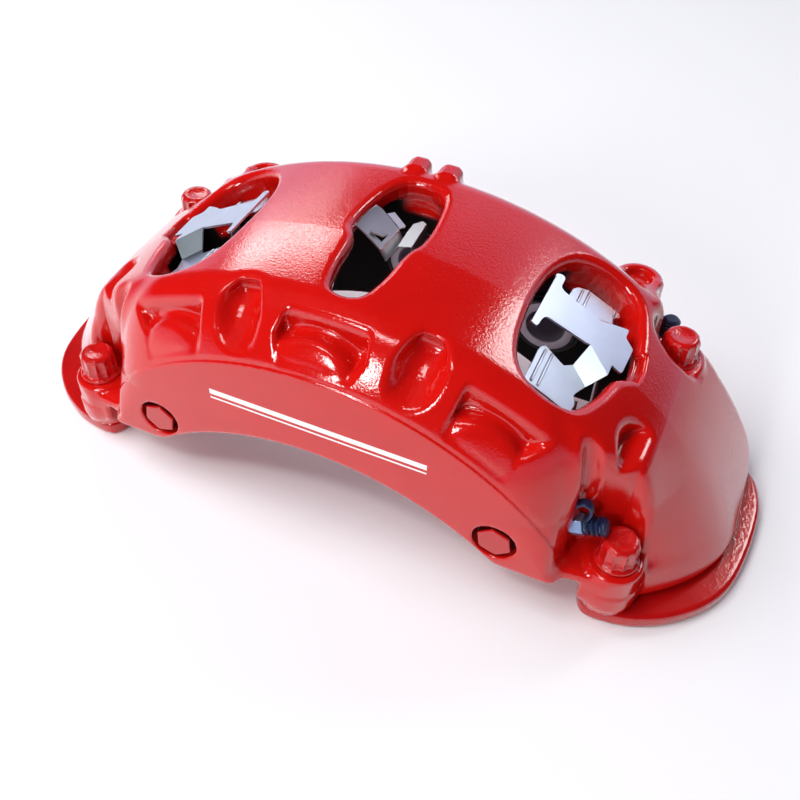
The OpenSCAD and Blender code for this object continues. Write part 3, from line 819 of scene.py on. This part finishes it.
def sheet(name, plates, look, thick=SHEET_T, mirrored=False, nodes=()):
    """Folded sheet: plates of 3-D points in mm, wound to face out; the thickness goes inward."""
    sign = -1 if mirrored else 1
    bm = bmesh.new()
    for points in plates:
        ring = [bm.verts.new((sign * p[0] * MM, p[1] * MM, p[2] * MM)) for p in points]
        bm.faces.new(ring[::sign])
    bmesh.ops.remove_doubles(bm, verts=bm.verts, dist=2e-5)
    mesh = bpy.data.meshes.new(name)
    bm.to_mesh(mesh)
    bm.free()
    mesh.polygons.foreach_set("use_smooth", np.ones(len(mesh.polygons), bool))
    obj = bpy.data.objects.new(name, mesh)
    bpy.context.scene.collection.objects.link(obj)
    solid = obj.modifiers.new("thickness", "SOLIDIFY")
    solid.thickness = thick * MM
    solid.offset = -1.0
    bevel = obj.modifiers.new("edges", "BEVEL")
    bevel.width = EDGE_ROUND * MM
    bevel.segments = 2
    bevel.limit_method = "ANGLE"
    bevel.angle_limit = math.radians(25)
    bevel.harden_normals = True
    return finish_piece(obj, "housing", "spring_steel", look, *nodes)


SPRING_TILT = math.radians(28.3)
TOP_PLATE_X, TOP_PLATE_Z = 71.0, 114.0
LEG_PLATE_X, LEG_PLATE_Z = 90.6, 95.0
LEG_SLOPE = 0.539
GUIDE_X = 97.4


def on_top_plate(u, y):
    """Point of the end spring's top plate, which slopes down to the end of the bridge."""
    return (TOP_PLATE_X + u * math.cos(SPRING_TILT), y, TOP_PLATE_Z - u * math.sin(SPRING_TILT))


def leg_point(x, y):
    """Point of the lower plates, which slope like the top plate."""
    return (x, y, LEG_PLATE_Z - LEG_SLOPE * (x - LEG_PLATE_X))


def guide(near, far):
    """Lower end of the strip that lines the end of the pad space."""
    return [(GUIDE_X, y, z) for y, z in ((near, 60), (near, 36), (far, 36), (far, 60), (far, 87))]


def bead(name, a, b, radius, look, mirrored=False):
    """Raised bead pressed in a sheet: a round bar half sunk in it, with round ends."""
    sign = -1 if mirrored else 1
    a, b = Vector((sign * a[0], a[1], a[2])), Vector((sign * b[0], b[1], b[2]))
    length = (b - a).length
    ends = arc(0, 0, radius, -80, 0, 4), arc(0, length, radius, 0, 80, 4)
    profile = [(0.0, -radius), *ends[0], *ends[1], (0.0, length + radius)]
    return finish_piece(lathe(name, profile, a, b - a, 20), "housing", "spring_steel", look)


# Top plate as distance down its slope and Y, in two runs with the fold to the front plate between
TOP_PLATE = [
    (-0.9, 19.4), (2.2, 22.0), (4.3, 21.4), (4.3, 15.0), (6.0, 13.7), (27.8, 13.4), (32.3, 16.5),
    (40.5, 20.6), (40.3, 14.8), (45.5, 11.7), (44.6, -5.6), (40.2, -5.3)]
TOP_PLATE_FRONT = [(25.0, -3.8), (4.4, -6.2), (3.2, -8.8), (2.8, -13.6), (2.3, -14.9), (-1.5, -14.4)]
FOLD_OUT, FOLD_IN = (39.1, -11.5), (26.8, -3.1)
# Lower plates as X and Y
LEG_FRONT = [
    (90.6, -11.5), (87.4, -15.4), (85.2, -14.9), (77.9, -12.5), (76.6, -14.3), (76.1, -16.5),
    (76.1, -36), (96.6, -36), (97.2, -30.2), (95.5, -26.3), (96.0, -23.8), (98.3, -17.7)]
LEG_REAR = [
    (90.0, 21.5), (98.5, 26.0), (97.8, 29.2), (100.3, 32.9), (99.5, 35.1), (83.7, 34.6),
    (79.3, 31.6), (77.7, 28.5), (77.3, 22.8), (78.0, 18.0)]
# X of each bead, and the Y of its ends
BEADS = ((78.6, -15.5, -34), (81.6, -15.0, -34), (81.6, 20.0, 31.0), (84.6, 21.0, 33.0))
BEAD_R = 0.75

for side, flip in SIDES:
    outline = [*rounded(TOP_PLATE, 1.2), Vector(FOLD_OUT), Vector(FOLD_IN), *rounded(TOP_PLATE_FRONT, 1.2)]
    top = [on_top_plate(p[0], p[1]) for p in outline][::-1]
    front = [leg_point(*p) for p in LEG_FRONT]
    rear = [leg_point(*p) for p in LEG_REAR]
    slope = [on_top_plate(*FOLD_IN), front[0], front[-1], on_top_plate(*FOLD_OUT)]
    rear_slope = [on_top_plate(29.0, 13.0), on_top_plate(39.5, 19.5), rear[1], rear[0]]
    front_guide = [leg_point(97.2, -30.2), leg_point(96.6, -36)] + guide(-37.5, -23)
    rear_guide = [leg_point(97.2, 34.9), leg_point(97.2, 30)] + guide(37.5, 23)
    sheet("end_spring_top_" + side, [top, slope, front], STEEL, mirrored=flip, nodes=("end_spring_" + side,))
    sheet("end_spring_rear_" + side, [rear_slope, rear], STEEL, mirrored=flip)
    sheet("end_spring_front_guide_" + side, [front_guide], STEEL, mirrored=flip)
    sheet("end_spring_rear_guide_" + side, [rear_guide], STEEL, mirrored=flip)
    for i, (x, y0, y1) in enumerate(BEADS):
        bead(f"end_spring_bead_{i}_{side}", leg_point(x, y0), leg_point(x, y1), BEAD_R, STEEL, flip)


def clip_z(x):
    """Height of the centre clip's sloping plate."""
    return 122.2 - (x + 12) * 0.26


def clip(*points):
    """Points of the clip's sloping plate, from (x, y) or (x, y, height above the plate)."""
    return [(p[0], p[1], clip_z(p[0]) + (p[2] if len(p) > 2 else 0)) for p in points]


hole = clip((-10.4, 3.6), (-3.4, 0.2), (-3.0, 6.0))
edge_a, edge_b, edge_c, edge_d = clip((-12, 0.5), (-1.8, -4.6), (-0.6, 13), (-12, 20))
fold_a, fold_b, fold_c, fold_d = (1.2, -4.2, 114.2), (2.2, 12.4, 114.2), (3.6, 1.9, 118.6), (3.0, 13.7, 118.6)
hook_a, hook_b = (9.8, 2.8, 119.8), (9.2, 20.7, 120.2)
sheet("centre_clip", [
    [(-17, 2.6, 122.9), edge_a, edge_d, (-17, 21.6, 122.9)],
    [edge_a, edge_b, hole[1], hole[0]],
    [edge_b, edge_c, hole[2], hole[1]],
    [edge_c, edge_d, edge_a, hole[0], hole[2]],
    [edge_b, fold_a, fold_b, edge_c],
    [fold_a, fold_c, fold_d, fold_b],
    [fold_c, hook_a, hook_b, (6.7, 22.5, 119.8), (3.2, 20, 118.8), fold_d],
    [hook_a, (10.6, 3.0, 113), (10.2, 20.6, 113), hook_b],
], CLIP_STEEL, CLIP_T, nodes=("centre_spring",))
flange = clip((-9.2, 18.6), (-0.8, 13.4)) + [(0.9, 16.6, 118.6), (0.2, 18.0, 118.3), (-7.0, 22.3, 120.6)]
sheet("centre_clip_flange", [flange], CLIP_STEEL, CLIP_T)
tab = [hole[0], *clip((-8.8, 1.6, 1.5), (-3.8, 2.8, 1.1), (-3.2, 5.4, 0.2)), hole[2]]
sheet("centre_clip_tab", [tab], CLIP_STEEL, 0.8)

for name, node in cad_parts.items():
    if name.startswith("seal"):
        node.data.materials.clear()
        node.data.materials.append(RUBBER)
    elif node.hide_render:
        node.data.materials.clear()
        node.data.materials.append(STEEL)

# ---------------------------------------------------------------- stage, light, camera
FLOOR_HALF = 2.2
floor_mesh = bpy.data.meshes.new("floor")
corners = [(sx * FLOOR_HALF, sy * FLOOR_HALF, 0) for sx, sy in ((-1, -1), (1, -1), (1, 1), (-1, 1))]
floor_mesh.from_pydata(corners, [], [(0, 1, 2, 3)])
floor = bpy.data.objects.new("floor", floor_mesh)
bpy.context.scene.collection.objects.link(floor)
floor_mat = bpy.data.materials.new("floor_white")
floor_mat.use_nodes = True
floor_look = floor_mat.node_tree.nodes["Principled BSDF"].inputs
floor_look["Base Color"].default_value = (0.92, 0.92, 0.95, 1)
floor_look["Roughness"].default_value = 0.95
floor_look["Specular IOR Level"].default_value = 0.1
floor_mesh.materials.append(floor_mat)

TARGET = Vector((0, 0, 0.07))


def area_light(name, direction, distance, size, power, along=(1, 0, 0), glossy=True):
    """Soft box looking at the part from a direction, with its first side laid along a vector."""
    data = bpy.data.lights.new(name, "AREA")
    data.shape = "RECTANGLE"
    data.size, data.size_y = size
    data.energy = power
    obj = bpy.data.objects.new(name, data)
    z = Vector(direction).normalized()
    x = (Vector(along) - z * z.dot(Vector(along))).normalized()
    turn = Matrix((x, z.cross(x), z)).transposed()
    obj.matrix_world = Matrix.LocRotScale(TARGET + z * distance, turn, None)
    obj.visible_glossy = glossy
    bpy.context.scene.collection.objects.link(obj)


WINDOW_RAIL = (0.61, 0.1, 0.41)
area_light("box_left", (-0.62, 0.62, 0.48), 1.3, (0.50, 0.10), 1.4, along=WINDOW_RAIL)
area_light("box_left_low", (-0.64, 0.68, 0.36), 1.3, (0.36, 0.05), 0.2, along=WINDOW_RAIL)
area_light("box_right", (0.38, 0.64, 0.67), 1.3, (0.3, 0.26), 2.4)
area_light("box_top", (-0.15, -0.5, 0.85), 1.4, (0.5, 0.12), 2.5)
area_light("box_front", (-0.16, -0.87, 0.47), 1.1, (0.18, 0.26), 4)
area_light("fill_top", (-0.6, -0.25, 1.0), 2.5, (2.2, 1.8), 62, glossy=False)

def studio_world():
    """Pale backdrop behind and below the part, darker overhead and to the right."""
    world = bpy.data.worlds.new("studio")
    world.use_nodes = True
    nt = world.node_tree
    sky = nt.nodes.new("ShaderNodeTexCoord")
    axes = nt.nodes.new("ShaderNodeSeparateXYZ")
    nt.links.new(sky.outputs["Generated"], axes.inputs[0])
    dx, dy, dz = axes.outputs
    behind = calc(nt, "MULTIPLY", calc(nt, "MINIMUM", dy, 0.35), 0.95)
    right = calc(nt, "MULTIPLY", calc(nt, "MAXIMUM", calc(nt, "SUBTRACT", dx, 0.45), 0.0), 2.5)
    left = calc(nt, "MULTIPLY", calc(nt, "MAXIMUM", calc(nt, "SUBTRACT", -0.12, dx), 0.0), 0.6)
    height = calc(nt, "ADD", calc(nt, "ADD", calc(nt, "SUBTRACT", dz, behind), right), left)
    backdrop = remap(nt, height, 0.29, 0.325, 1.0, 0.03)
    horizon = remap(nt, dz, 0.05, 0.16, 0.85, 0.0)
    seen = calc(nt, "MULTIPLY", nt.nodes.new("ShaderNodeLightPath").outputs["Is Camera Ray"], 0.95)
    strength = calc(nt, "MAXIMUM", calc(nt, "MAXIMUM", backdrop, horizon), seen)
    background = nt.nodes["Background"].inputs
    background["Color"].default_value = (0.76, 0.72, 1.0, 1)
    nt.links.new(strength, background["Strength"])
    return world


bpy.context.scene.world = studio_world()
bpy.context.scene.view_settings.view_transform = "Standard"

CAMERA_AT = (0.1293, -0.2956, 0.3583)
CAMERA_TURN = (43.861, -1.567, 23.897)
camera_data = bpy.data.cameras.new("camera")
camera_data.lens = 41.1
camera_data.sensor_width = 36
camera = bpy.data.objects.new("camera", camera_data)
camera.location = CAMERA_AT
camera.rotation_euler = [math.radians(a) for a in CAMERA_TURN]
bpy.context.scene.collection.objects.link(camera)
bpy.context.scene.camera = camera
